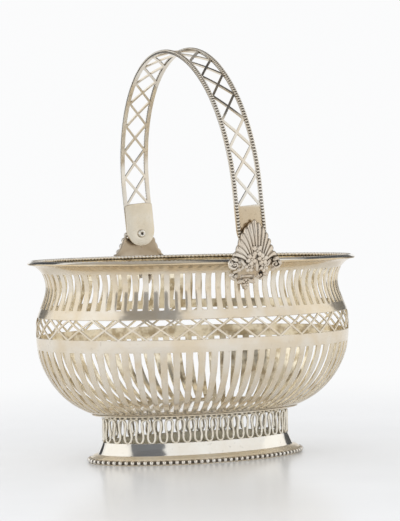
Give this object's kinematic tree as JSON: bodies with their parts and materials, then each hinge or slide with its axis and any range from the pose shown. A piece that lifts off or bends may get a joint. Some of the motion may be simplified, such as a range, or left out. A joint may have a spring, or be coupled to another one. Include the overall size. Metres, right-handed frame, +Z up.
{
  "type": "pierced basket",
  "caption": "Oval pierced silver basket on a looped gallery foot, with a flared beaded rim and a latticed strap handle that swings between two shell lugs.",
  "frame": {"origin": "centre of the oval that the foot stands on, at table level", "axes": "+X along the oval's long axis, +Y across it through the far lug, +Z up; the handle leans a little towards -X"},
  "size_m": [0.25, 0.2074, 0.3001],
  "materials": {
    "polished_silver": "polished",
    "sheet_silver": "worn polish",
    "cast_silver": "satin"
  },
  "bodies": {
    "basket": {"foot_skirt": "polished_silver", "foot_bead_wire": "cast_silver", "foot_gallery": "polished_silver", "foot_collar": "polished_silver", "floor_plate": "polished_silver", "pierced_wall": "sheet_silver", "rim_bead_wire": "cast_silver", "shell_lug_far": "cast_silver", "shell_lug_near": "cast_silver", "pivot_pin_far": "polished_silver", "pivot_pin_near": "polished_silver", "pivot_washer_far": "polished_silver", "pivot_washer_near": "polished_silver"},
    "handle": {"handle_strap": "sheet_silver", "handle_bead_wire_left": "cast_silver", "handle_bead_wire_right": "cast_silver", "handle_end_plate_far": "polished_silver", "handle_end_plate_near": "polished_silver"}
  },
  "joints": [
    {"name": "handle_swing", "type": "hinge", "parent": "basket", "child": "handle", "pos_m": [0, 0, 0.1633], "axis": [0, 1, 0], "range_deg": [-90.8, 101.2]}
  ]
}
